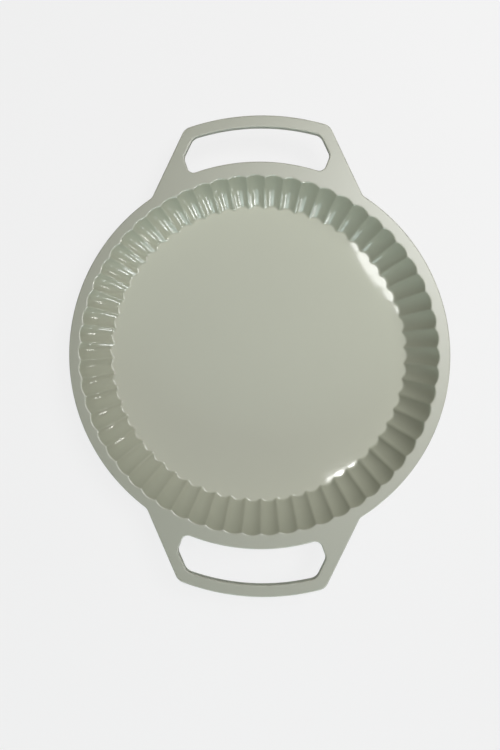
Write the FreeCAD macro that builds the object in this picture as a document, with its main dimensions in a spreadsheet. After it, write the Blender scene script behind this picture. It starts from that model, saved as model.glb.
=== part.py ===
"""Round fluted baking pan of silicone, moulded in one piece with two open loop handles.

Millimetres, +Z up. The origin is the centre of the flat underside, and the handles lie along Y.
The wall is worked out one flute at a time: a flute is drawn in plan at several heights, carried
from one height to the next, and turned round the pan.
"""

import FreeCAD, Part
import math
import os

import Sketcher
from FreeCAD import Vector

# Driving dimensions: name, value in millimetres unless it says otherwise, and what it measures
SIZES = [
    ("rim_radius", 139.2, "outer edge of the round rim"),
    ("rim_thickness", 4.5, "thickness of the rim and of the handle straps"),
    ("rim_width", 7.8, "outer edge of the rim in to the hollows of the flutes"),
    ("pan_height", 35.0, "underside of the floor to the top of the rim"),
    ("floor_thickness", 2.2, "thickness of the flat floor"),
    ("wall_thickness", 2.0, "thickness of the wall at the crest of a flute, measured level"),
    ("flute_count", 60, "number of flutes round the wall, a count"),
    ("wall_run", 15.2, "how far the wall comes in from the top of the rim down to the floor"),
    ("foot_depth", 2.1, "crest of a flute to the rounded rib beside it, at the floor"),
    ("head_depth", 1.6, "crest of a flute to the rounded rib beside it, at the rim"),
    ("rib_round", 2.2, "radius of a rib's rounded nose"),
    ("crease_depth", 1.8, "crest of a flute to the crease beside it, on the outside"),
    ("flute_lap", 4.0, "how far a flute's plan runs inwards past its ribs"),
    ("rim_bevel", 0.8, "softened inner edge of the rim"),
    ("floor_bevel", 1.2, "softened corner between the floor and the wall"),
    ("foot_bevel", 2.0, "softened corner between the underside and the outside of the wall"),
    ("handle_length", 36.7, "outer edge of the rim to the middle of a handle's outer edge"),
    ("handle_bow", 167.0, "radius of a handle's bowed outer edge"),
    ("handle_spread", 66.5, "centre line to a handle's side, level with the rim's outer edge"),
    ("handle_lean", 25.0, "lean of a handle's sides from straight out, in degrees"),
    ("strap_width", 8.8, "width of the strap round a slot"),
    ("slot_setback", 2.4, "outer edge of the rim to a slot's inner edge"),
    ("slot_rise", 6.2, "outer edge of the rim to the level where a slot's sides bend"),
    ("handle_corner", 9.0, "rounding of a handle's outer corners"),
    ("slot_corner", 8.0, "rounding of a slot's two outer corners"),
    ("slot_bend", 6.0, "rounding of the bend between a slot's side and its end"),
    ("slot_foot", 5.0, "rounding between a slot's end and the rim"),
    ("handle_root", 7.0, "rounding where a handle's side runs into the rim"),
    ("edge_bevel", 0.7, "softened edges of the rim, the handles and the slots"),
]

# Formulas on the sheet that more than one feature follows
RIM_TOP = "Sizes.pan_height"
RIM_FOOT = "Sizes.pan_height - Sizes.rim_thickness"
FLOOR = "Sizes.floor_thickness"
LEAN = "Sizes.handle_lean * 1 deg"
HALF_PITCH = "180 deg / Sizes.flute_count"
HANDLE_REACH = "Sizes.rim_radius + Sizes.handle_length"
SLOT_START = "Sizes.rim_radius + Sizes.slot_setback"
SLOT_BEND = "Sizes.rim_radius + Sizes.slot_rise"
CREST_AT_FLOOR = "Sizes.rim_radius - Sizes.rim_width - Sizes.wall_run"
WALL_SLOPE = f"Sizes.wall_run / (Sizes.pan_height - {FLOOR})"

# Names of the places in a sketch that a constraint takes
ORIGIN = (-1, 1)
X_AXIS = -1
Y_AXIS = -2
START, END, CENTRE = 1, 2, 3

NEAR = 1e-4

doc = FreeCAD.newDocument("BakingPan")


def make_sheet():
    """The table of driving dimensions, one row each: name, value and meaning."""
    table = doc.addObject("Spreadsheet::Sheet", "Sizes")
    for row, (name, value, meaning) in enumerate(SIZES, start=1):
        table.set(f"A{row}", name)
        table.set(f"B{row}", str(value))
        table.set(f"C{row}", meaning)
        table.setAlias(f"B{row}", name)
    doc.recompute()
    return table


sheet = make_sheet()
body = doc.addObject("PartDesign::Body", "BakingPan")
body.Label = "baking_pan"


def worth(formula):
    """What a formula on the sheet comes to now, in millimetres or degrees."""
    result = body.evalExpression(formula)
    return float(getattr(result, "Value", result))


def datum(role):
    """The body's own plane or axis of that role."""
    return next(item for item in body.Origin.OriginFeatures if item.Role == role)


def new_sketch(name, level):
    """An empty level sketch at the height that the formula gives."""
    sketch = body.newObject("Sketcher::SketchObject", name)
    sketch.AttachmentSupport = [(datum("XY_Plane"), "")]
    sketch.MapMode = "FlatFace"
    sketch.setExpression("AttachmentOffset.Base.z", level)
    return sketch


def feature(kind, name, **formulas):
    """A feature of the body whose properties follow formulas on the sheet."""
    item = body.newObject(f"PartDesign::{kind}", name)
    for key, formula in formulas.items():
        item.setExpression(key, formula)
    return item


def settle(item):
    """Works the feature out, so that the next one can build on it."""
    body.Tip = item
    doc.recompute()
    return item


# Sketch helpers


def line(sketch, first, last):
    """A straight edge of the plan."""
    return sketch.addGeometry(Part.LineSegment(Vector(*first), Vector(*last)), False)


def arc(sketch, first, middle, last):
    """A round edge of the plan through three points, turning anticlockwise."""
    points = [Vector(*point) for point in (first, middle, last)]
    return sketch.addGeometry(Part.ArcOfCircle(*points), False)


def tie(sketch, kind, *places):
    """A relation between places of the sketch."""
    sketch.addConstraint(Sketcher.Constraint(kind, *places))


def bind(sketch, kind, places, formula):
    """A dimension of the sketch that follows a formula on the sheet."""
    start = worth(formula)
    if kind == "Angle":
        start = math.radians(start)
    index = sketch.addConstraint(Sketcher.Constraint(kind, *places, start))
    sketch.setExpression(f"Constraints[{index}]", formula)


def close(sketch, *ends):
    """The ends in the list, taken two by two, meet in one point."""
    for first, second in zip(ends[::2], ends[1::2]):
        tie(sketch, "Coincident", *first, *second)


def mark(sketch, x, y, *curves):
    """A construction point that lies on each of the curves."""
    index = sketch.addGeometry(Part.Point(Vector(x, y)), True)
    for curve in curves:
        tie(sketch, "PointOnObject", index, START, curve)
    return index, START


# Edge selection


def upright_edges(item, corner):
    """Names of the feature's upright edges over a corner of the plan, in all four quarters."""
    names = []
    for number, edge in enumerate(item.Shape.Edges, start=1):
        box = edge.BoundBox
        upright = max(box.XLength, box.YLength) < NEAR < box.ZLength
        place = Vector(abs(box.Center.x), abs(box.Center.y))
        if upright and place.distanceToPoint(Vector(*corner)) < NEAR:
            names.append(f"Edge{number}")
    return names


def level_edges(item, height):
    """Names of all the feature's edges that lie at one height."""
    names = []
    for number, edge in enumerate(item.Shape.Edges, start=1):
        box = edge.BoundBox
        if max(abs(box.ZMin - height), abs(box.ZMax - height)) < NEAR:
            names.append(f"Edge{number}")
    return names


def dress(kind, name, base, edges, key, formula):
    """A fillet or chamfer on some edges of a feature, sized by a formula."""
    item = feature(kind, name, **{key: formula})
    item.Base = (base, edges)
    return settle(item)


# Rim plate and handles


def side_at(y, inset):
    """Where a handle's leaning side, moved inwards by the inset, crosses the level y."""
    lean = math.radians(worth(LEAN))
    rise = y - worth("Sizes.rim_radius")
    return worth("Sizes.handle_spread") - inset / math.cos(lean) - math.tan(lean) * rise


def side_meets_circle(centre_y, radius, inset):
    """The far point where the side meets a circle about a point of the Y axis."""
    slope = math.tan(math.radians(worth(LEAN)))
    across = side_at(centre_y, inset)
    square = 1 + slope * slope
    rise = (across * slope + math.sqrt(radius * radius * square - across * across)) / square
    return side_at(centre_y + rise, inset), centre_y + rise


def bowed_edge(sketch, corner, reach, radius):
    """A bowed edge between two mirrored corners, from the formulas of its reach and radius."""
    x, y = corner
    edge = arc(sketch, (x, y), (0, worth(reach)), (-x, y))
    tie(sketch, "PointOnObject", edge, CENTRE, Y_AXIS)
    tie(sketch, "Symmetric", edge, START, edge, END, Y_AXIS)
    bind(sketch, "Radius", (edge,), radius)
    middle = mark(sketch, 0, worth(reach), edge, Y_AXIS)
    bind(sketch, "DistanceY", (*ORIGIN, *middle), reach)
    return edge


def leaning_edge(sketch, foot, head, inset):
    """The handle's right side, moved inwards by the formula of the inset."""
    edge = line(sketch, foot, head)
    bind(sketch, "Angle", (edge,), f"90 deg + {LEAN}")
    level = worth("Sizes.rim_radius")
    point = mark(sketch, side_at(level, worth(inset)), level, edge)
    bind(sketch, "DistanceX", (*ORIGIN, *point), f"Sizes.handle_spread - {inset} / cos({LEAN})")
    bind(sketch, "DistanceY", (*ORIGIN, *point), "Sizes.rim_radius")
    return edge


def handle_plan(outer_corner):
    """The outline of one handle, which runs in under the rim plate as far as half its radius."""
    sketch = new_sketch("HandlePlan", RIM_FOOT)
    x, y = outer_corner
    base_y = worth("Sizes.rim_radius / 2")
    base_x = side_at(base_y, 0)
    top = bowed_edge(sketch, outer_corner, HANDLE_REACH, "Sizes.handle_bow")
    right = leaning_edge(sketch, (base_x, base_y), (x, y), "0")
    left = line(sketch, (-x, y), (-base_x, base_y))
    base = line(sketch, (-base_x, base_y), (base_x, base_y))
    close(sketch, (right, END), (top, START), (top, END), (left, START),
          (left, END), (base, START), (base, END), (right, START))
    tie(sketch, "Symmetric", base, START, base, END, Y_AXIS)
    bind(sketch, "DistanceY", (*ORIGIN, base, START), "Sizes.rim_radius / 2")
    return sketch


def slot_plan(top_corner, bend, foot_corner):
    """The outline of one slot: two bowed edges, two sides along the strap and two short ends.

    The ends run from the bends of the sides straight towards the pan's centre.
    """
    sketch = new_sketch("SlotPlan", RIM_TOP)
    other_top, other_bend, other_foot = ((-x, y) for x, y in (top_corner, bend, foot_corner))
    top = bowed_edge(sketch, top_corner, f"{HANDLE_REACH} - Sizes.strap_width",
                     "Sizes.handle_bow - Sizes.strap_width")
    foot = bowed_edge(sketch, foot_corner, SLOT_START, SLOT_START)
    right = leaning_edge(sketch, bend, top_corner, "Sizes.strap_width")
    left = line(sketch, other_top, other_bend)
    right_end = line(sketch, foot_corner, bend)
    left_end = line(sketch, other_bend, other_foot)
    close(sketch, (right, END), (top, START), (top, END), (left, START),
          (left, END), (left_end, START), (left_end, END), (foot, END),
          (foot, START), (right_end, START), (right_end, END), (right, START))
    tie(sketch, "Symmetric", right, START, left, END, Y_AXIS)
    tie(sketch, "PointOnObject", *ORIGIN, right_end)
    bind(sketch, "DistanceY", (*ORIGIN, right, START), SLOT_BEND)
    return sketch


def make_plate():
    """The flat rim plate with both handles, its corners rounded and its edges softened."""
    plan = new_sketch("RimPlan", RIM_FOOT)
    rim_circle = Part.Circle(Vector(), Vector(0, 0, 1), worth("Sizes.rim_radius"))
    circle = plan.addGeometry(rim_circle, False)
    close(plan, (circle, CENTRE), ORIGIN)
    bind(plan, "Radius", (circle,), "Sizes.rim_radius")
    rim = feature("Pad", "Rim", Length="Sizes.rim_thickness")
    rim.Profile = plan

    bow_centre = worth(f"{HANDLE_REACH} - Sizes.handle_bow")
    bow_radius = worth("Sizes.handle_bow")
    strap = worth("Sizes.strap_width")
    outer_corner = side_meets_circle(bow_centre, bow_radius, 0)
    root_corner = side_meets_circle(0, worth("Sizes.rim_radius"), 0)
    slot_corner = side_meets_circle(bow_centre, bow_radius - strap, strap)
    bend = side_at(worth(SLOT_BEND), strap), worth(SLOT_BEND)
    slot_foot = tuple(worth(SLOT_START) * part / math.hypot(*bend) for part in bend)

    handle = feature("Pad", "Handle", Length="Sizes.rim_thickness")
    handle.Profile = handle_plan(outer_corner)
    slot = feature("Pocket", "Slot", Length="Sizes.rim_thickness")
    slot.Profile = slot_plan(slot_corner, bend, slot_foot)
    settle(slot)
    pair = feature("Mirrored", "HandlePair")
    pair.Originals = [handle, slot]
    pair.MirrorPlane = (datum("XZ_Plane"), [""])
    last = settle(pair)

    for name, corner, size in (("HandleCorners", outer_corner, "Sizes.handle_corner"),
                               ("HandleRoots", root_corner, "Sizes.handle_root"),
                               ("SlotCorners", slot_corner, "Sizes.slot_corner"),
                               ("SlotBends", bend, "Sizes.slot_bend"),
                               ("SlotFeet", slot_foot, "Sizes.slot_foot")):
        last = dress("Fillet", name, last, upright_edges(last, corner), "Radius", size)
    edges = level_edges(last, worth(RIM_TOP)) + level_edges(last, worth(RIM_FOOT))
    return dress("Chamfer", "EdgeBevel", last, edges, "Size", "Sizes.edge_bevel")


# Fluted bowl


def wall_crest(level, thickness="0"):
    """The formula of a flute's crest radius at a level, on the inside or a thickness out."""
    return f"{CREST_AT_FLOOR} + {thickness} + ({level} - {FLOOR}) * {WALL_SLOPE}"


def core(kind, name, foot, height, radius_foot, radius_head):
    """A plain round cone inside the ribs or creases, which the flutes of one side run into."""
    item = feature(kind, name, Radius1=radius_foot, Radius2=radius_head, Height=height)
    item.AttachmentSupport = [(datum("XY_Plane"), "")]
    item.MapMode = "FlatFace"
    item.setExpression("AttachmentOffset.Base.z", foot)
    return settle(item)


def polar(radius, turn):
    """The point of the plan at a radius and an angle in radians."""
    return radius * math.cos(turn), radius * math.sin(turn)


def mirrored(point):
    """The point on the other side of the X axis."""
    return point[0], -point[1]


def rounded_ribs(sketch, crest, rib, nose, sides):
    """The hollow of a flute, run smoothly into half of the rounded rib on each side."""
    upper, lower = sides
    half = math.radians(worth(HALF_PITCH))
    out, bend = worth(crest), worth(nose)
    x, y = polar(worth(rib) + bend, half)
    radius = ((out - x) ** 2 + y * y - bend * bend) / (2 * (out - x + bend))
    turn = math.atan2(y, x - out + radius)
    meet = (out - radius + radius * math.cos(turn), radius * math.sin(turn))
    halfway = (x - bend * math.cos((turn + half) / 2), y - bend * math.sin((turn + half) / 2))
    tip = polar(worth(rib), half)

    hollow = arc(sketch, mirrored(meet), (out, 0), meet)
    above = arc(sketch, tip, halfway, meet)
    below = arc(sketch, mirrored(meet), mirrored(halfway), mirrored(tip))
    tie(sketch, "Tangent", hollow, END, above, END)
    tie(sketch, "Tangent", hollow, START, below, START)
    close(sketch, (above, START), (upper, END), (below, END), (lower, START))
    tie(sketch, "PointOnObject", above, CENTRE, upper)
    tie(sketch, "PointOnObject", below, CENTRE, lower)
    tie(sketch, "Equal", above, below)
    bind(sketch, "Radius", (above,), nose)
    return hollow


def sharp_ribs(sketch, crest, rib, sides):
    """The hollow of a flute as one arc that ends in a sharp rib on each side."""
    upper, lower = sides
    tip = polar(worth(rib), math.radians(worth(HALF_PITCH)))
    hollow = arc(sketch, mirrored(tip), (worth(crest), 0), tip)
    close(sketch, (hollow, END), (upper, END), (hollow, START), (lower, START))
    return hollow


def flute_plan(name, level, crest, rib, nose=None):
    """One flute in plan, from the formulas of its level, its crest and rib radii and its nose.

    Two lines towards the pan's axis, half a pitch to each side, close it against its neighbours.
    """
    sketch = new_sketch(name, level)
    half = math.radians(worth(HALF_PITCH))
    tip = polar(worth(rib), half)
    root = polar(worth(rib) - worth("Sizes.flute_lap"), half)
    upper = line(sketch, root, tip)
    inner = line(sketch, mirrored(root), root)
    lower = line(sketch, mirrored(tip), mirrored(root))
    close(sketch, (upper, START), (inner, END), (inner, START), (lower, END))
    tie(sketch, "Symmetric", inner, START, inner, END, X_AXIS)
    tie(sketch, "Symmetric", upper, END, lower, START, X_AXIS)
    tie(sketch, "PointOnObject", *ORIGIN, upper)
    bind(sketch, "Angle", (upper,), HALF_PITCH)
    bind(sketch, "Distance", (*ORIGIN, upper, END), rib)
    bind(sketch, "Distance", (upper,), "Sizes.flute_lap")
    if nose:
        hollow = rounded_ribs(sketch, crest, rib, nose, (upper, lower))
    else:
        hollow = sharp_ribs(sketch, crest, rib, (upper, lower))
    bottom = mark(sketch, worth(crest), 0, hollow, X_AXIS)
    bind(sketch, "DistanceX", (*ORIGIN, *bottom), crest)
    return sketch


def turn_round(kind, name, plans):
    """One flute carried through its plans, then turned round the pan."""
    single = feature(kind, name)
    single.Profile = plans[0]
    single.Sections = plans[1:]
    single.Ruled = True
    settle(single)
    ring = feature("PolarPattern", f"{name}Ring", Occurrences="Sizes.flute_count")
    ring.Originals = [single]
    ring.Axis = (datum("Z_Axis"), [""])
    ring.Angle = 360
    return settle(ring)


def make_outside():
    """The outside of the bowl: a round core and a ring of flutes that draw in at the foot."""
    foot = "Sizes.foot_bevel"
    stations = (
        ("OutsideFloor", "0", foot, foot),
        ("OutsideFoot", foot, foot, "0"),
        ("OutsideHead", RIM_FOOT, RIM_FOOT, "0"),
    )
    creases = []
    plans = []
    for name, level, wall_level, inset in stations:
        crest = f"{wall_crest(wall_level, 'Sizes.wall_thickness')} - {inset}"
        creases.append(f"{crest} - Sizes.crease_depth")
        plans.append(flute_plan(name, level, crest, creases[-1]))
    core("AdditiveCone", "BowlCore", "0", RIM_FOOT,
         f"{creases[0]} - Sizes.flute_lap / 2", f"{creases[-1]} - Sizes.flute_lap / 2")
    return turn_round("AdditiveLoft", "OutsideFlute", plans)


def make_inside():
    """The hollow of the bowl: its flutes widen at the rim and draw in at the floor."""
    foot = f"({FLOOR} + Sizes.floor_bevel)"
    head = f"({RIM_TOP} - Sizes.rim_bevel)"
    stations = (
        ("InsideFloor", FLOOR, foot, "-Sizes.floor_bevel", "Sizes.foot_depth"),
        ("InsideFoot", foot, foot, "0", "Sizes.foot_depth"),
        ("InsideHead", head, head, "0", "Sizes.head_depth"),
        ("InsideMouth", RIM_TOP, head, "Sizes.rim_bevel", "Sizes.head_depth"),
    )
    core("SubtractiveCone", "HollowCore", FLOOR, f"{RIM_TOP} - {FLOOR}",
         f"{wall_crest(FLOOR)} - Sizes.floor_bevel - Sizes.foot_depth - Sizes.flute_lap / 2",
         f"{wall_crest(RIM_TOP)} - Sizes.head_depth - Sizes.flute_lap / 2")
    plans = []
    for name, level, wall_level, shift, depth in stations:
        crest = f"{wall_crest(wall_level)} + ({shift})"
        rib = f"{crest} - {depth}"
        plans.append(flute_plan(name, level, crest, rib, f"Sizes.rib_round - ({shift})"))
    return turn_round("SubtractiveLoft", "InsideFlute", plans)


def check(shape):
    """Stops the script if anything failed to work out or the pan isn't one sound solid."""
    failed = [item.Name for item in doc.Objects if {"Invalid", "Error"} & set(item.State)]
    if failed:
        raise SystemExit(f"not worked out: {', '.join(failed)}")
    if shape.isNull() or not shape.isValid() or len(shape.Solids) != 1:
        raise SystemExit("the pan is not one sound solid")


make_plate()
bowl = make_outside()
hollow = make_inside()
if not hollow.Shape.Volume < bowl.Shape.Volume / 2:
    raise SystemExit("the bowl was not hollowed")
check(body.Shape)
os.makedirs("parts", exist_ok=True)
body.Shape.exportStep(f"parts/{body.Label}.step")
print(f"{body.Label}: {body.Shape.Volume / 1000:.1f} cubic centimetres")
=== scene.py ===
"""Looks of a round fluted baking pan of silicone: its fine surface, its finish and the studio.

The pan is one moulded piece, so one closed surface stands for it. That surface is worked out
in millimetres from the pan's sizes and written into the mesh in metres.
"""

import cmath
import logging
import math
from dataclasses import dataclass, field
from enum import Enum

import bpy
import numpy as np
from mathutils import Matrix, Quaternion, Vector, geometry


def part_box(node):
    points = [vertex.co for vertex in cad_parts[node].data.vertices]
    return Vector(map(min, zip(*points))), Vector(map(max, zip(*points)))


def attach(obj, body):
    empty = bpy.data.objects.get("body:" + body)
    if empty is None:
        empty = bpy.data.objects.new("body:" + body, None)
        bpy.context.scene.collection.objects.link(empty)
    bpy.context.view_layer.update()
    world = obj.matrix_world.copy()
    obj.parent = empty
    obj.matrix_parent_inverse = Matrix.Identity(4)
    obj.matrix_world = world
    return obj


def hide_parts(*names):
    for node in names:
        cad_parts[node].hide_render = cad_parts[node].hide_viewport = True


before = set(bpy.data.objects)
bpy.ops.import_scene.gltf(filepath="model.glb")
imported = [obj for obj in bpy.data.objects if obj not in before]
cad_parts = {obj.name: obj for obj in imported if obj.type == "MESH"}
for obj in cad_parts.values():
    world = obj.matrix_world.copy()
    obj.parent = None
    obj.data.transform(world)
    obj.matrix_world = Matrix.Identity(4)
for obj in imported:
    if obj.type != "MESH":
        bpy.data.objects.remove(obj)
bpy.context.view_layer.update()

MM = 0.001
NODE = "baking_pan"

# Outer edge of the rim in to the hollows of the flutes, in millimetres
RIM_WIDTH = 7.8

# Longest step along a round outline, as a turn in radians and as a length in millimetres
STEP_TURN = math.radians(7.5)
STEP_LENGTH = 2.5

# Points nearer to each other than this are one point, in millimetres
NEAR = 1e-6

# How polished a surface is
GLOSSY, SATIN = 1.0, 0.0

# Sockets of a Mix node that mixes colours: its two colours and its result
MIX_FIRST, MIX_SECOND, MIX_RESULT = 6, 7, 2

Colour = tuple[float, float, float]

log = logging.getLogger("baking_pan")


class Facing(Enum):
    """Side that a strip's faces look to, its rings taken from the top down or from outside in."""

    INWARD = 1
    OUTWARD = -1


class LampShape(Enum):
    """Outline of a lamp's face."""

    OVAL = "ELLIPSE"
    OBLONG = "RECTANGLE"


class Tint(Enum):
    """Colour of a lamp's light."""

    WHITE = (1.0, 1.0, 1.0)
    COOL = (0.8, 0.97, 1.0)
    PALE = (0.94, 0.97, 1.0)
    WARM = (1.0, 0.98, 0.95)


class Shell:
    """A closed surface put together from strips, flats and discs that share their points."""

    def __init__(self) -> None:
        """Starts with no points and no faces."""
        self.points: list[np.ndarray] = []
        self.polish: list[np.ndarray] = []
        self.faces: list[list[int]] = []
        self.count = 0

    def add(self, points: np.ndarray, polish: np.ndarray | float) -> np.ndarray:
        """Takes points into the surface.

        Args:
            points: Places in millimetres, x, y and z last.
            polish: How glossy the surface is there, from 0 to 1, one value or one for each point.

        Returns:
            The points' numbers, in the shape of the points without their last axis.
        """
        shape = points.shape[:-1]
        size = int(np.prod(shape))
        self.points.append(points.reshape(size, 3))
        self.polish.append(np.broadcast_to(polish, shape).reshape(size))
        numbers = np.arange(self.count, self.count + size).reshape(shape)
        self.count += size
        return numbers

    def take(self, faces: np.ndarray, facing: Facing) -> None:
        """Takes faces that look inward or up as they come, and turns them over if need be."""
        self.faces.extend(faces[:, :: facing.value].tolist())

    def strip(self, rings: np.ndarray, facing: Facing) -> None:
        """Joins neighbouring closed rings with four-cornered faces.

        Args:
            rings: Point numbers, one anticlockwise ring to a row.
            facing: Side that the faces look to.
        """
        ahead = np.roll(rings, -1, axis=1)
        quads = np.stack([rings[:-1], ahead[:-1], ahead[1:], rings[1:]], axis=-1)
        self.take(quads.reshape(-1, 4), facing)

    def disc(self, ring: np.ndarray, edge: float, shares: tuple[float, ...], level: float,
             polish: float, facing: Facing) -> None:
        """Closes a ring with a level disc of smaller rings and a pole.

        The first ring has as many points as the edge, and each further one half as many.

        Args:
            ring: Point numbers of the disc's edge, anticlockwise.
            edge: Radius of the edge.
            shares: Radius of each ring inside the edge, as a share of the edge's.
            level: Height of the disc.
            polish: How glossy it is, from 0 to 1.
            facing: INWARD if it looks up and OUTWARD if it looks down.
        """
        for number, share in enumerate(shares):
            size = len(ring) // (2 if number else 1)
            turn = np.arange(size) * 2 * np.pi / size
            radius = edge * share
            x, y = radius * np.cos(turn), radius * np.sin(turn)
            inner = self.add(np.stack([x, y, np.full(size, level)], -1), polish)
            if number:
                even, odd, following = ring[::2], ring[1::2], np.roll(ring, -2)[::2]
                ahead = np.roll(inner, -1)
                for corners in ((even, odd, inner), (odd, ahead, inner), (odd, following, ahead)):
                    self.take(np.stack(corners, -1), facing)
            else:
                self.strip(np.stack([ring, inner]), facing)
            ring = inner
        pole = self.add(np.array([[0.0, 0.0, level]]), polish)
        fan = np.stack([ring, np.roll(ring, -1), np.repeat(pole, len(ring))], -1)
        self.take(fan, facing)

    def flat(self, loops: list[np.ndarray], facing: Facing) -> None:
        """Fills the level area that lies inside an odd number of the loops with triangles.

        A point lies inside as many loops as a ray from it along X crosses an odd number of times.

        Args:
            loops: Point numbers of each closed loop.
            facing: INWARD if the area looks up and OUTWARD if it looks down.
        """
        numbers = np.concatenate(loops)
        places = np.concatenate(self.points)[numbers][:, :2]
        starts = np.cumsum([0] + [len(loop) for loop in loops])
        first = np.arange(len(numbers))
        last = np.concatenate([np.roll(first[low:high], -1)
                               for low, high in zip(starts, starts[1:])])
        edges = np.stack([first, last], -1)
        corners = [Vector(place) for place in places.tolist()]
        same_place = 1e-7
        found = geometry.delaunay_2d_cdt(corners, edges.tolist(), [], 0, same_place)
        origin = np.array([sources[0] for sources in found[3]])
        triangles = origin[np.array(found[2])]
        middle = places[triangles].mean(axis=1)
        (ax, ay), (bx, by) = places[edges[:, 0]].T, places[edges[:, 1]].T
        spans = (ay > middle[:, 1:]) != (by > middle[:, 1:])
        rise = np.where(by == ay, 1.0, by - ay)
        crossing = ax + (middle[:, 1:] - ay) * (bx - ax) / rise
        inside = np.sum(spans & (crossing > middle[:, :1]), axis=1) % 2 == 1
        self.take(numbers[triangles[inside]], facing)

    def mesh(self, name: str) -> bpy.types.Mesh:
        """The surface as a smooth mesh in metres that carries its polish as an attribute."""
        mesh = bpy.data.meshes.new(name)
        places = np.concatenate(self.points) * MM
        mesh.from_pydata(places.tolist(), [], self.faces)
        mesh.attributes.new("polish", "FLOAT", "POINT")
        polish = np.concatenate(self.polish).astype(np.float32)
        mesh.attributes["polish"].data.foreach_set("value", polish)
        mesh.shade_smooth()
        return mesh


@dataclass(frozen=True)
class Arc:
    """A round stretch of an outline. A straight one is an arc of a very large radius.

    Attributes:
        centre: Its centre in the plan, as a complex number.
        radius: Its radius, negative where the centre lies to the right of the way along it.
    """

    centre: complex
    radius: float

    @classmethod
    def straight(cls, point: complex, heading: complex) -> "Arc":
        """The arc that passes as straight, through a point with a heading of length 1."""
        far = 1e6
        return cls(point + 1j * heading * far, far)

    def fillet(self, other: "Arc", radius: float, near: complex) -> "Arc":
        """The arc of a given radius that touches this one and another.

        Its centre is where two circles cross: those round both centres whose radii are less
        by its own. A negative radius turns to the right.

        Args:
            other: The arc that follows this one.
            radius: The fillet's radius.
            near: The crossing nearest to this point is taken.

        Returns:
            The fillet.
        """
        own, its = abs(self.radius - radius), abs(other.radius - radius)
        span = other.centre - self.centre
        along = (own ** 2 - its ** 2 + abs(span) ** 2) / (2 * abs(span))
        across = math.sqrt(own ** 2 - along ** 2)
        crossings = [self.centre + span / abs(span) * (along + side * 1j * across)
                     for side in (1, -1)]
        return Arc(min(crossings, key=lambda crossing: abs(crossing - near)), radius)

    def touch(self, fillet: "Arc") -> complex:
        """The point in which a fillet touches this arc."""
        way = fillet.centre - self.centre
        return self.centre + way * self.radius / (self.radius - fillet.radius)

    def sample(self, start: complex, end: complex) -> tuple[np.ndarray, np.ndarray]:
        """Points from start up to but not including end, and the directions to the right there."""
        sweep = cmath.phase((end - self.centre) / (start - self.centre))
        steps = math.ceil(max(abs(sweep) / STEP_TURN, abs(sweep * self.radius) / STEP_LENGTH))
        turn = np.exp(1j * sweep * np.arange(steps) / steps)
        right = (start - self.centre) / self.radius * turn
        return self.centre + right * self.radius, right


@dataclass
class Way:
    """Half of an outline: arcs with a fillet at each of their corners.

    Attributes:
        start: Where the first arc starts.
        end: Where the last arc ends.
        arcs: The arcs in the order of the way.
        rounding: Radius of the fillet after each arc but the last.
        near: A point to which the corners lie nearer than the arcs' other crossings.
    """

    start: complex
    end: complex
    arcs: list[Arc]
    rounding: list[float]
    near: complex

    def sample(self) -> tuple[np.ndarray, np.ndarray]:
        """Points along the way, its end among them, and the directions to the right there."""
        pieces = []
        place = self.start
        for arc, following, radius in zip(self.arcs, self.arcs[1:], self.rounding):
            fillet = arc.fillet(following, radius, self.near)
            leave, meet = arc.touch(fillet), following.touch(fillet)
            pieces += [arc.sample(place, leave), fillet.sample(leave, meet)]
            place = meet
        last = self.arcs[-1]
        pieces.append(last.sample(place, self.end))
        pieces.append((np.array([self.end]), np.array([(self.end - last.centre) / last.radius])))
        points, right = zip(*pieces)
        return np.concatenate(points), np.concatenate(right)


def with_mirror(points: np.ndarray, right: np.ndarray,
                mirror: complex) -> tuple[np.ndarray, np.ndarray]:
    """A way followed by its mirror image, which is passed the other way round.

    A point p has its image at the mirror's value times the conjugate of p. Points on the
    mirror line are used once.

    Args:
        points: Points of the way.
        right: Directions to the right of the way.
        mirror: 1 to mirror in the X axis and -1 in the Y axis.

    Returns:
        The points and directions of both together.
    """
    starts_on_line = abs(points[0] - mirror * points[0].conjugate()) < NEAR
    image = slice(-2, 0, -1) if starts_on_line else slice(-2, None, -1)
    return (np.concatenate([points, mirror * points[image].conjugate()]),
            np.concatenate([right, mirror * right[image].conjugate()]))


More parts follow.
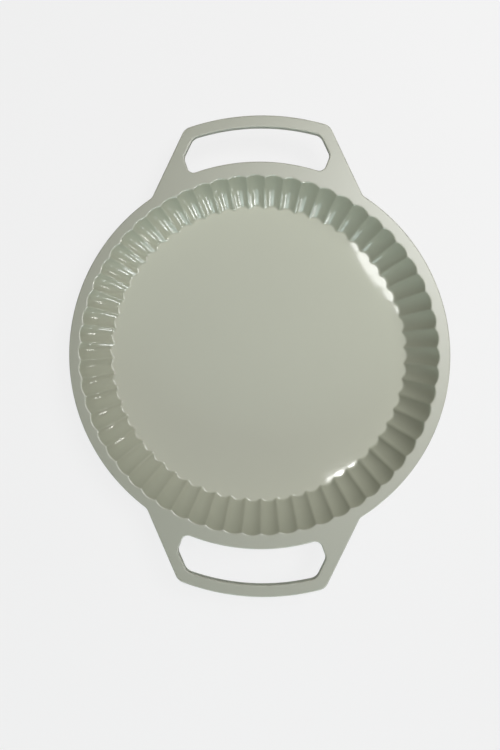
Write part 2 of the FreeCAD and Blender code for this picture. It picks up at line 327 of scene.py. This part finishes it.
@dataclass
class Flutes:
    """Level sections of a fluted wall.

    In a section each flute is a hollow arc that runs smoothly into half of a rounded rib on
    each side. The rib's circle has its centre half a pitch from the flute's middle, and the
    hollow's radius follows from touching it.

    Attributes:
        count: Number of flutes round the pan.
        foot_depth: Hollow of a flute to the rib beside it, at the floor.
        head_depth: The same at the top of the rim.
        nose: Radius of a rib's rounded nose.
        hollow_steps: Steps across the hollow.
        nose_steps: Steps round half a rib.
    """

    count: int
    foot_depth: float
    head_depth: float
    nose: float
    hollow_steps: int = 12
    nose_steps: int = 4

    def rings(self, crests: np.ndarray, shares: np.ndarray, offsets: np.ndarray,
              levels: np.ndarray) -> np.ndarray:
        """Rings of points, one for each level.

        Args:
            crests: Radius to the hollow of a flute.
            shares: How far up the wall each ring is, from 0 at the floor to 1 at the rim.
            offsets: How far inwards the section is from one with the wall's own rounding.
            levels: Height of each ring.

        Returns:
            Points in millimetres, rings first.
        """
        half = np.pi / self.count
        crest, nose, level = crests[:, None], (self.nose + offsets)[:, None], levels[:, None]
        depth = self.foot_depth + (self.head_depth - self.foot_depth) * shares[:, None]
        rib = crest - depth + nose
        x, y = rib * np.cos(half), rib * np.sin(half)
        hollow = ((crest - x) ** 2 + y ** 2 - nose ** 2) / (2 * (crest - x + nose))
        turn = np.arctan2(y, x - crest + hollow)
        share = np.linspace(0, 1, self.nose_steps + 1)[:-1]
        lower = -half + (half - turn) * share
        middle = turn * np.linspace(-1, 1, self.hollow_steps + 1)
        upper = turn + (half - turn) * share[1:]
        flute = np.concatenate([
            (x - 1j * y) - nose * np.exp(1j * lower),
            crest - hollow + hollow * np.exp(1j * middle),
            (x + 1j * y) - nose * np.exp(1j * upper),
        ], axis=1)
        turns = np.exp(2j * half * np.arange(self.count))
        ring = (turns[None, :, None] * flute[:, None, :]).reshape(len(crests), -1)
        return np.stack([ring.real, ring.imag, np.broadcast_to(level, ring.shape)], -1)


@dataclass
class Bowl:
    """The bowl of the pan: a flat floor and a fluted wall that leans outwards.

    Attributes:
        height: Underside of the floor to the top of the rim.
        mouth: Radius to the hollow of a flute at the top of the rim.
        rim_thickness: Thickness of the rim plate that the wall carries.
        run: How far the wall comes in from the rim down to the floor.
        bulge: How far the wall's hollows stand out of a straight line, half way up.
        floor_thickness: Thickness of the floor.
        wall_thickness: Thickness of the wall at a hollow, measured level.
        inside: The flutes inside.
        outside: The flutes outside.
        mouth_round: Rounding between the wall and the top of the rim.
        floor_round: Rounding between the wall and the floor.
        neck_round: Rounding between the outside and the underside of the rim.
        foot_round: Rounding between the outside and the underside of the floor.
        round_steps: Steps round each of them.
        wall_steps: Steps down the wall between them.
        floor_rings: Radii of the rings across the floor, as shares of its edge.
        foot_rings: The same for the underside.
    """

    height: float
    mouth: float
    rim_thickness: float = 4.5
    run: float = 15.2
    bulge: float = 2.3
    floor_thickness: float = 2.2
    wall_thickness: float = 2.0
    inside: Flutes = field(default_factory=lambda: Flutes(
        count=60, foot_depth=2.1, head_depth=1.6, nose=2.2))
    outside: Flutes = field(default_factory=lambda: Flutes(
        count=60, foot_depth=1.8, head_depth=1.8, nose=0.9, hollow_steps=10, nose_steps=2))
    mouth_round: float = 1.25
    floor_round: float = 2.5
    neck_round: float = 1.0
    foot_round: float = 3.0
    round_steps: int = 5
    wall_steps: int = 6
    floor_rings: tuple[float, ...] = (0.92, 0.8, 0.6, 0.36, 0.15)
    foot_rings: tuple[float, ...] = (0.92, 0.7, 0.4, 0.15)

    def share(self, level: np.ndarray | float) -> np.ndarray | float:
        """How far up the wall a level is, from 0 at the floor to 1 at the top of the rim."""
        return (level - self.floor_thickness) / (self.height - self.floor_thickness)

    def wall(self, level: np.ndarray | float) -> np.ndarray | float:
        """Radius to a hollow of the inside: a straight line with a parabola's bulge added."""
        share = self.share(level)
        return self.mouth - self.run * (1 - share) + 4 * self.bulge * share * (1 - share)

    def slope(self, level: float) -> float:
        """Lean of the wall from upright at a level, in radians."""
        step = 0.01
        return math.atan((self.wall(level + step) - self.wall(level - step)) / (2 * step))

    def blend(self, level: float, radius: float, side: int, thickness: float) -> np.ndarray:
        """A rounding between the wall and a flat at a level.

        The circle lies above or below the flat by its radius, and touches the flat and the
        wall, so it is seen under 90 degrees less the wall's lean.

        Args:
            level: Height of the flat.
            radius: Radius of the rounding.
            side: 1 if the circle lies above the flat, and -1 if below.
            thickness: 0 for the inside of the wall, and its thickness for the outside.

        Returns:
            Rows of radius and height from the flat to the wall.
        """
        lean = self.slope(level)
        turn = np.linspace(0, np.pi / 2 - lean, self.round_steps + 1)
        reach = radius * (1 - math.sin(lean)) / math.cos(lean)
        centre = self.wall(level) + thickness - side * reach
        radii = centre + side * radius * np.sin(turn)
        levels = level + side * radius * (1 - np.cos(turn))
        return np.stack([radii, levels], -1)

    def ring_rows(self, rows: np.ndarray, thickness: float) -> np.ndarray:
        """Rings of the inside or outside through rows of radius and height.

        A row that lies off the wall gets the section that runs parallel to the wall's own.
        """
        flutes = self.outside if thickness else self.inside
        radii, levels = rows.T
        offsets = self.wall(levels) + thickness - radii
        return flutes.rings(radii, self.share(levels), offsets, levels)

    def side_rows(self, top: np.ndarray, foot: np.ndarray, thickness: float) -> np.ndarray:
        """Rows of radius and height from a top rounding down the wall and a foot rounding."""
        levels = np.linspace(top[-1, 1], foot[-1, 1], self.wall_steps + 1)[1:-1]
        wall = np.stack([self.wall(levels) + thickness, levels], -1)
        return np.concatenate([top, wall, foot[::-1]])

    def build_inside(self, shell: Shell) -> np.ndarray:
        """Makes the inside and its floor.

        Args:
            shell: The surface that takes them.

        Returns:
            Point numbers of the edge of the rim's flat top.
        """
        top = self.blend(self.height, self.mouth_round, -1, 0.0)
        foot = self.blend(self.floor_thickness, self.floor_round, 1, 0.0)
        rows = self.side_rows(top, foot, 0.0)
        polish = np.clip(np.arange(len(rows)) / self.round_steps, SATIN, GLOSSY)[:, None]
        rings = shell.add(self.ring_rows(rows, 0.0), polish)
        shell.strip(rings, Facing.INWARD)
        edge = rows[-1, 0]
        shell.disc(rings[-1], edge, self.floor_rings, self.floor_thickness, GLOSSY, Facing.INWARD)
        return rings[0]

    def build_outside(self, shell: Shell) -> np.ndarray:
        """Makes the outside and its foot.

        Args:
            shell: The surface that takes them.

        Returns:
            Point numbers of the edge of the rim's flat underside.
        """
        top = self.blend(self.height - self.rim_thickness, self.neck_round, -1, self.wall_thickness)
        foot = self.blend(0.0, self.foot_round, 1, self.wall_thickness)
        rows = self.side_rows(top, foot, self.wall_thickness)
        rings = shell.add(self.ring_rows(rows, self.wall_thickness), SATIN)
        shell.strip(rings, Facing.OUTWARD)
        edge = rows[-1, 0]
        shell.disc(rings[-1], edge, self.foot_rings, 0.0, SATIN, Facing.OUTWARD)
        return rings[0]


@dataclass
class RimPlate:
    """The flat rim with its two loop handles.

    Attributes:
        radius: Outer edge of the round rim.
        reach: Centre of the pan to the middle of a handle's outer edge.
        top: Height of the plate's upper face.
        thickness: Thickness of the plate.
        bow: Radius of a handle's bowed outer edge.
        spread: Centre line to a handle's side, level with the rim's outer edge.
        lean: Lean of a handle's sides, in degrees.
        strap: Width of the strap round a slot.
        setback: Rim's outer edge to a slot's inner edge.
        rise: Rim's outer edge to the level where a slot's sides bend.
        root: Rounding where a handle's side runs into the rim.
        corner: Rounding of a handle's outer corners.
        slot_foot: Rounding between a slot's end and the rim.
        slot_bend: Rounding of the bend between a slot's side and its end.
        slot_corner: Rounding of a slot's outer corners.
        edge: Rounding of the plate's edges.
        edge_steps: Steps round each edge.
    """

    radius: float
    reach: float
    top: float
    thickness: float = 4.5
    bow: float = 167.0
    spread: float = 66.5
    lean: float = 25.0
    strap: float = 8.8
    setback: float = 2.4
    rise: float = 6.2
    root: float = 7.0
    corner: float = 9.0
    slot_foot: float = 5.0
    slot_bend: float = 6.0
    slot_corner: float = 8.0
    edge: float = 1.0
    edge_steps: int = 5

    def side(self, inset: float) -> Arc:
        """A handle's right side, moved inwards by the inset and followed outwards."""
        heading = 1j * cmath.exp(1j * math.radians(self.lean))
        return Arc.straight(self.spread + 1j * self.radius + 1j * heading * inset, heading)

    def outline(self) -> tuple[np.ndarray, np.ndarray]:
        """The plate's outer edge, anticlockwise, and the directions out of it."""
        arcs = [Arc(0j, self.radius), self.side(0.0), Arc(1j * (self.reach - self.bow), self.bow)]
        quarter = Way(self.radius + 0j, 1j * self.reach, arcs, [-self.root, self.corner],
                      self.spread + 1j * self.radius)
        return with_mirror(*with_mirror(*quarter.sample(), -1), 1)

    def slot(self) -> tuple[np.ndarray, np.ndarray]:
        """The edge of the slot at +Y, anticlockwise, and the directions into the plate."""
        start = self.radius + self.setback
        lean = math.radians(self.lean)
        bend_x = self.spread - self.strap / math.cos(lean) - math.tan(lean) * self.rise
        bend = bend_x + 1j * (self.radius + self.rise)
        arcs = [
            Arc(0j, -start),
            Arc.straight(bend, bend / abs(bend)),
            self.side(self.strap),
            Arc(1j * (self.reach - self.bow), self.bow - self.strap),
        ]
        half = Way(1j * start, 1j * (self.reach - self.strap), arcs,
                   [self.slot_foot, self.slot_bend, self.slot_corner], bend)
        return with_mirror(*half.sample(), -1)

    def edge_rings(self, points: np.ndarray, inwards: np.ndarray) -> np.ndarray:
        """Rings of an edge from the upper to the lower face, both corners rounded.

        Each ring is the outline moved into the plate by the rounding's radius times one less
        the sine of the turn, and down by the radius times one less its cosine.
        """
        turn = np.linspace(0, np.pi / 2, self.edge_steps + 1)
        shift = self.edge * (1 - np.sin(turn))
        drop = self.edge * (1 - np.cos(turn))
        shifts = np.concatenate([shift, shift[::-1]])[:, None]
        under = self.top - self.thickness
        levels = np.concatenate([self.top - drop, under + drop[::-1]])[:, None]
        ring = points[None, :] + inwards[None, :] * shifts
        return np.stack([ring.real, ring.imag, np.broadcast_to(levels, ring.shape)], -1)

    def build(self, shell: Shell, mouth: np.ndarray, neck: np.ndarray) -> None:
        """Makes the edges and both faces.

        Args:
            shell: The surface that takes them.
            mouth: Point numbers of the upper face's inner loop.
            neck: Point numbers of the lower face's inner loop.
        """
        points, out = self.outline()
        slot_points, into = self.slot()
        uppers, lowers = [mouth], [neck]
        edges = ((points, -out, Facing.OUTWARD), (slot_points, into, Facing.INWARD),
                 (-slot_points, -into, Facing.INWARD))
        for place, inwards, facing in edges:
            rings = shell.add(self.edge_rings(place, inwards), SATIN)
            shell.strip(rings, facing)
            uppers.append(rings[0])
            lowers.append(rings[-1])
        shell.flat(uppers, Facing.INWARD)
        shell.flat(lowers, Facing.OUTWARD)


class Signal:
    """A number in a material, on which Python's arithmetic adds Math nodes."""

    def __init__(self, sheet: "NodeSheet", socket: bpy.types.NodeSocket) -> None:
        """Wraps an output socket of a node on the sheet."""
        self.sheet = sheet
        self.socket = socket

    def math(self, operation: str, *values: "Signal | float") -> "Signal":
        """The result of a Math node on the values."""
        node = self.sheet.node("ShaderNodeMath", {"operation": operation}, dict(enumerate(values)))
        return Signal(self.sheet, node.outputs[0])

    def __add__(self, other: "Signal | float") -> "Signal":
        """This number plus another."""
        return self.math("ADD", self, other)

    def __sub__(self, other: "Signal | float") -> "Signal":
        """This number less another."""
        return self.math("SUBTRACT", self, other)

    def __rsub__(self, other: float) -> "Signal":
        """Another number less this one."""
        return self.math("SUBTRACT", other, self)

    def __mul__(self, other: "Signal | float") -> "Signal":
        """This number times another."""
        return self.math("MULTIPLY", self, other)

    __radd__ = __add__
    __rmul__ = __mul__


class NodeSheet:
    """The nodes of one material or world."""

    def __init__(self, owner: bpy.types.Material | bpy.types.World) -> None:
        """Clears the owner's nodes and starts afresh."""
        owner.use_nodes = True
        self.tree = owner.node_tree
        self.tree.nodes.clear()

    def node(self, kind: str, settings: dict | None = None,
             sockets: dict | None = None) -> bpy.types.Node:
        """Adds a node.

        Args:
            kind: Its type.
            settings: Its own settings, which are set first.
            sockets: Values or links of its input sockets, by name or number.

        Returns:
            The node.
        """
        node = self.tree.nodes.new(kind)
        for name, value in (settings or {}).items():
            setattr(node, name, value)
        for key, value in (sockets or {}).items():
            if isinstance(value, Signal):
                value = value.socket
            if isinstance(value, bpy.types.NodeSocket):
                self.tree.links.new(value, node.inputs[key])
            else:
                node.inputs[key].default_value = value
        return node

    def signal(self, kind: str, output: str, settings: dict | None = None,
               sockets: dict | None = None) -> Signal:
        """One numeric output of a new node."""
        return Signal(self, self.node(kind, settings, sockets).outputs[output])


@dataclass(frozen=True)
class Noise:
    """A noise between 0 and 1.

    Attributes:
        scale: How many features it has in a metre.
        detail: How many finer layers lie on them.
    """

    scale: float
    detail: float


@dataclass(frozen=True)
class Silicone:
    """Pigmented silicone: glossy where the mould was polished and satin elsewhere.

    Attributes:
        colour: Its colour.
        deep: Its colour where the pigment lies a little thicker.
        shaded_colour: Its colour on the rim, the handles and the outside, a darker copy of
        the bowl's colour that stands for painted shade.
        satin: Roughness there.
        gloss: Roughness of the bowl.
        smear: How much the roughness of the bowl wanders.
        grain: Height of the mould's grain on the satin parts, in metres.
        wave: Height of the slow waves in the bowl, in metres.
        index: Refractive index, a little over plain silicone's for its wet-looking gloss.
        cloud: Where the pigment lies thicker.
        haze: How the roughness of the bowl wanders.
        grains: Pattern of the mould's grain.
        swell: Pattern of the slow waves.
    """

    colour: Colour = (0.432, 0.442, 0.352)
    deep: Colour = (0.414, 0.424, 0.337)
    shaded_colour: Colour = (0.376, 0.382, 0.31)
    satin: float = 0.47
    gloss: float = 0.04
    smear: float = 0.02
    grain: float = 0.00002
    wave: float = 0.00005
    index: float = 1.6
    cloud: Noise = Noise(14.0, 3.0)
    haze: Noise = Noise(40.0, 4.0)
    grains: Noise = Noise(1400.0, 2.0)
    swell: Noise = Noise(30.0, 1.0)

    def material(self) -> bpy.types.Material:
        """The finish as a material that reads the mesh's polish."""
        material = bpy.data.materials.new("silicone")
        sheet = NodeSheet(material)
        place = sheet.node("ShaderNodeTexCoord").outputs["Object"]
        polish = sheet.signal("ShaderNodeAttribute", "Fac", {"attribute_name": "polish"})

        def pattern(noise: Noise) -> Signal:
            """The noise on this surface."""
            return sheet.signal("ShaderNodeTexNoise", "Fac", None,
                                {"Vector": place, "Scale": noise.scale, "Detail": noise.detail})

        cloud, haze = pattern(self.cloud), pattern(self.haze)
        grains, swell = pattern(self.grains), pattern(self.swell)
        glazed = sheet.node("ShaderNodeMix", {"data_type": "RGBA"}, {
            "Factor": cloud,
            MIX_FIRST: (*self.colour, 1),
            MIX_SECOND: (*self.deep, 1),
        })
        # Painted shade: the satin rim, handles and outside get a darker colour than the glossy bowl
        colour = sheet.node("ShaderNodeMix", {"data_type": "RGBA"}, {
            "Factor": polish,
            MIX_FIRST: (*self.shaded_colour, 1),
            MIX_SECOND: glazed.outputs[MIX_RESULT],
        })
        glossy = self.gloss + self.smear * (haze - 0.5)
        roughness = self.satin + (glossy - self.satin) * polish
        height = grains * (1 - polish) * self.grain + swell * polish * self.wave
        bump = sheet.node("ShaderNodeBump", None,
                          {"Strength": 1.0, "Distance": 1.0, "Height": height})
        shader = sheet.node("ShaderNodeBsdfPrincipled", None, {
            "Base Color": colour.outputs[MIX_RESULT],
            "Roughness": roughness,
            "IOR": self.index,
            "Normal": bump.outputs["Normal"],
        })
        sheet.node("ShaderNodeOutputMaterial", None, {"Surface": shader.outputs["BSDF"]})
        return material


@dataclass
class BakingPan:
    """The whole pan, one moulded piece.

    Attributes:
        bowl: The bowl.
        plate: The rim with its handles.
        finish: What it is made of.
    """

    bowl: Bowl
    plate: RimPlate
    finish: Silicone = Silicone()

    @classmethod
    def in_frame(cls, node: str) -> "BakingPan":
        """The pan that fills the box of a node of the frame."""
        rim_radius, reach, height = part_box(node)[1] / MM
        return cls(Bowl(height, rim_radius - RIM_WIDTH), RimPlate(rim_radius, reach, height))

    def build(self) -> bpy.types.Object:
        """Makes the pan's surface and dresses it.

        Returns:
            The object, which stands for the node.
        """
        shell = Shell()
        mouth = self.bowl.build_inside(shell)
        neck = self.bowl.build_outside(shell)
        self.plate.build(shell, mouth, neck)
        piece = bpy.data.objects.new("fluted_pan", shell.mesh("fluted_pan"))
        bpy.context.scene.collection.objects.link(piece)
        piece.data.materials.append(self.finish.material())
        piece.modifiers.new("even_shading", "WEIGHTED_NORMAL")
        return piece


@dataclass(frozen=True)
class Lamp:
    """A lamp with an even face.

    Attributes:
        name: What it is.
        place: Its middle, in metres.
        aim: The point that it faces, in metres.
        width: Width of its face, in metres.
        height: Height of its face, in metres.
        radiance: How bright its face is, where white paper under full light is 1.
        tint: The colour of its light.
        shape: The outline of its face.
        roll: How far it is turned about its own axis, in degrees.
        only_glints: Whether it shows in reflections and lights nothing else.
    """

    name: str
    place: Vector
    aim: Vector
    width: float
    height: float
    radiance: float
    tint: Tint = Tint.WHITE
    shape: LampShape = LampShape.OVAL
    roll: float = 0.0
    only_glints: bool = False

    def hang(self) -> None:
        """Makes the lamp. Its power is its brightness times pi times its face's area."""
        data = bpy.data.lights.new(self.name, "AREA")
        data.shape = self.shape.value
        data.size, data.size_y = self.width, self.height
        area = self.width * self.height * (math.pi / 4 if self.shape is LampShape.OVAL else 1)
        data.energy = self.radiance * math.pi * area
        data.color = self.tint.value
        lamp = bpy.data.objects.new(self.name, data)
        lamp.location = self.place
        facing = (self.aim - self.place).to_track_quat("-Z", "Y")
        rolled = facing @ Quaternion((0, 0, 1), math.radians(self.roll))
        lamp.rotation_euler = rolled.to_euler()
        lamp.visible_camera = False
        lamp.visible_diffuse = not self.only_glints
        bpy.context.scene.collection.objects.link(lamp)
        log.info("lamp %s at %s", lamp.name, [round(value, 3) for value in lamp.location])


@dataclass
class Studio:
    """A pale floor, soft light and a camera over the pan, tilted a few degrees.

    Attributes:
        rim_level: Height of the pan's rim, in metres.
        floor_level: Height of the pan's own floor, which mirrors the lamps.
        camera_x: How far right of the pan's centre the camera hangs, in metres.
        camera_y: How far behind the centre, in metres.
        camera_rise: Height of the camera over the rim, in metres.
        camera_tilt: How far it is turned about X, Y and Z, in degrees.
        lens: Focal length in millimetres, for a long side of 36.
        shift: Shift of the picture, as a share of its long side.
        backdrop: Colour of the floor and of what lies behind it, in a picture.
        shade: Share of the floor's colour that the pan can shade.
        ambient: Brightness of the light from all round.
        floor_half: Half the width of the studio's floor, in metres.
        floor_gap: How far the studio's floor lies under the pan, in metres.
        glint_height: Height of the lamps that the pan's floor mirrors, in metres.
        key_point: Point in the plane of the pan's floor that mirrors the middle of the key.
        key_side: Side of the square key, in metres.
        key_roll: How far the key is turned, in degrees.
        front_point: Point of the pan's floor that mirrors the middle of the front glint.
        window_rise: Elevation of the window and of its bright panes, in degrees.
        pane_turns: Azimuth of each bright pane, in degrees.
    """

    rim_level: float
    floor_level: float
    camera_x: float = 0.01845
    camera_y: float = 0.01163
    camera_rise: float = 0.42
    camera_tilt: tuple[float, float, float] = (1.27, 5.76, 0.65)
    lens: float = 27.57
    shift: tuple[float, float] = (0.0384, -0.0668)
    backdrop: float = 0.892
    shade: float = 0.1
    ambient: float = 0.07
    floor_half: float = 3.0
    floor_gap: float = 0.0002
    glint_height: float = 0.8
    key_point: tuple[float, float] = (0.1574, 0.1062)
    key_side: float = 0.46
    key_roll: float = 34.0
    front_point: tuple[float, float] = (0.0719, -0.0963)
    window_rise: float = 14.0
    pane_turns: tuple[float, ...] = (-76.0, -49.0)

    def camera_place(self) -> Vector:
        """Where the camera hangs."""
        return Vector((self.camera_x, self.camera_y, self.rim_level + self.camera_rise))

    def over_glint(self, x: float, y: float) -> tuple[Vector, Vector]:
        """The place that the camera sees mirrored in a point of the pan's floor.

        Args:
            x: The point's place across.
            y: The point's place along.

        Returns:
            The place and the point of the ground straight below it, in metres.
        """
        eye = self.camera_place()
        mirrored = Vector((eye.x, eye.y, 2 * self.floor_level - eye.z))
        way = Vector((x, y, self.floor_level)) - mirrored
        place = mirrored + way * ((self.glint_height - mirrored.z) / way.z)
        return place, Vector((place.x, place.y, 0.0))

    def build(self) -> None:
        """Makes the camera, the floor, the world and the lamps."""
        self.hang_camera()
        self.lay_floor()
        self.light_world()
        for lamp in self.lights() + self.glints():
            lamp.hang()

    def hang_camera(self) -> None:
        """Hangs the camera, which looks down almost straight, +Y at the top of its picture."""
        data = bpy.data.cameras.new("camera")
        data.lens = self.lens
        data.shift_x, data.shift_y = self.shift
        camera = bpy.data.objects.new("camera", data)
        camera.location = self.camera_place()
        camera.rotation_mode = "ZYX"
        camera.rotation_euler = [math.radians(turn) for turn in self.camera_tilt]
        bpy.context.scene.collection.objects.link(camera)
        bpy.context.scene.camera = camera

    def lay_floor(self) -> None:
        """Lays a pale floor that keeps the pan's shadow, a hair under the pan."""
        half = self.floor_half
        plan = ((-half, -half), (half, -half), (half, half), (-half, half))
        mesh = bpy.data.meshes.new("floor")
        mesh.from_pydata([(x, y, -self.floor_gap) for x, y in plan], [], [(0, 1, 2, 3)])
        floor = bpy.data.objects.new("floor", mesh)
        bpy.context.scene.collection.objects.link(floor)
        material = bpy.data.materials.new("floor")
        sheet = NodeSheet(material)
        pale = (self.backdrop, self.backdrop, self.backdrop, 1)
        paper = sheet.node("ShaderNodeBsdfDiffuse", None, {"Color": pale})
        glow = sheet.node("ShaderNodeEmission", None, {"Color": pale})
        seen = sheet.signal("ShaderNodeLightPath", "Is Camera Ray") * (1 - self.shade)
        mix = sheet.node("ShaderNodeMixShader", None,
                         {"Fac": seen, 1: paper.outputs["BSDF"], 2: glow.outputs["Emission"]})
        sheet.node("ShaderNodeOutputMaterial", None, {"Surface": mix.outputs["Shader"]})
        mesh.materials.append(material)

    def light_world(self) -> None:
        """Gives the world an even light, and the backdrop's colour where the camera sees it."""
        world = bpy.data.worlds.new("studio")
        bpy.context.scene.world = world
        sheet = NodeSheet(world)
        seen = sheet.signal("ShaderNodeLightPath", "Is Camera Ray")
        strength = self.ambient + seen * (self.backdrop - self.ambient)
        background = sheet.node("ShaderNodeBackground", None,
                                {"Color": (1, 1, 1, 1), "Strength": strength})
        sheet.node("ShaderNodeOutputWorld", None, {"Surface": background.outputs["Background"]})

    def around(self, turn: float, rise: float, away: float) -> Vector:
        """A place seen from the middle of the pan's mouth.

        Args:
            turn: Its azimuth from +X, in degrees.
            rise: Its elevation, in degrees.
            away: Its distance in metres.

        Returns:
            The place, in metres.
        """
        azimuth, elevation = math.radians(turn), math.radians(rise)
        level = away * math.cos(elevation)
        return Vector((level * math.cos(azimuth), level * math.sin(azimuth),
                       self.rim_level + away * math.sin(elevation)))

    def mouth_middle(self) -> Vector:
        """The middle of the pan's mouth, which most lamps face."""
        return Vector((0.0, 0.0, self.rim_level))

    def key(self, name: str, radiance: float, only_glints: bool) -> Lamp:
        """A lamp at the key's place.

        It faces straight down, so that its edge is mirrored at the foot of the wall at the right.

        Args:
            name: What it is.
            radiance: How bright it is.
            only_glints: Whether it shows in reflections and lights nothing else.

        Returns:
            The lamp.
        """
        place, below = self.over_glint(*self.key_point)
        return Lamp(name, place, below, width=self.key_side, height=self.key_side,
                    radiance=radiance, shape=LampShape.OBLONG, roll=self.key_roll,
                    only_glints=only_glints)

    def lights(self) -> list[Lamp]:
        """The lamps that light the pan: the key, a window in front and a soft sky overhead."""
        middle = self.mouth_middle()
        window_place = self.around(turn=-95.0, rise=self.window_rise, away=1.0)
        sky_place = self.around(turn=0.0, rise=90.0, away=1.2)
        return [
            self.key("key", radiance=9.0, only_glints=False),
            Lamp("window", window_place, middle, width=0.35, height=0.36, radiance=10.0,
                 tint=Tint.COOL, shape=LampShape.OBLONG),
            Lamp("sky", sky_place, middle, width=1.0, height=1.0, radiance=1.6),
        ]

    def glints(self) -> list[Lamp]:
        """The lamps that only show in the pan's gloss, as a bright room would."""
        middle = self.mouth_middle()
        front_place, front_below = self.over_glint(*self.front_point)
        side_place = self.around(turn=-8.0, rise=27.0, away=1.0)
        high_place = self.around(turn=-45.0, rise=34.0, away=1.0)
        spots = [
            self.key("key_glint", radiance=10.0, only_glints=True),
            Lamp("front_glint", front_place, front_below, width=0.07, height=0.055,
                 radiance=34.0, shape=LampShape.OBLONG, roll=32.3, only_glints=True),
            Lamp("side_glint", side_place, middle, width=0.13, height=0.26, radiance=40.0,
                 tint=Tint.WARM, only_glints=True),
            Lamp("high_glint", high_place, middle, width=0.14, height=0.08, radiance=30.0,
                 tint=Tint.PALE, only_glints=True),
        ]
        panes = [
            Lamp(f"pane_{number}", self.around(turn, self.window_rise, away=1.0), middle,
                 width=0.13, height=0.36, radiance=32.0, tint=Tint.PALE,
                 shape=LampShape.OBLONG, only_glints=True)
            for number, turn in enumerate(self.pane_turns, start=1)
        ]
        return spots + panes


def main() -> None:
    """Builds the pan and the studio round it."""
    logging.basicConfig(level=logging.INFO, format="%(message)s")
    pan = BakingPan.in_frame(NODE)
    piece = pan.build()
    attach(piece, "root")
    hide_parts(NODE)
    mesh = piece.data
    log.info("%s: %d points, %d faces", piece.name, len(mesh.vertices), len(mesh.polygons))
    Studio(pan.bowl.height * MM, pan.bowl.floor_thickness * MM).build()
    bpy.context.scene.view_settings.view_transform = "Standard"


if __name__ == "__main__":
    main()
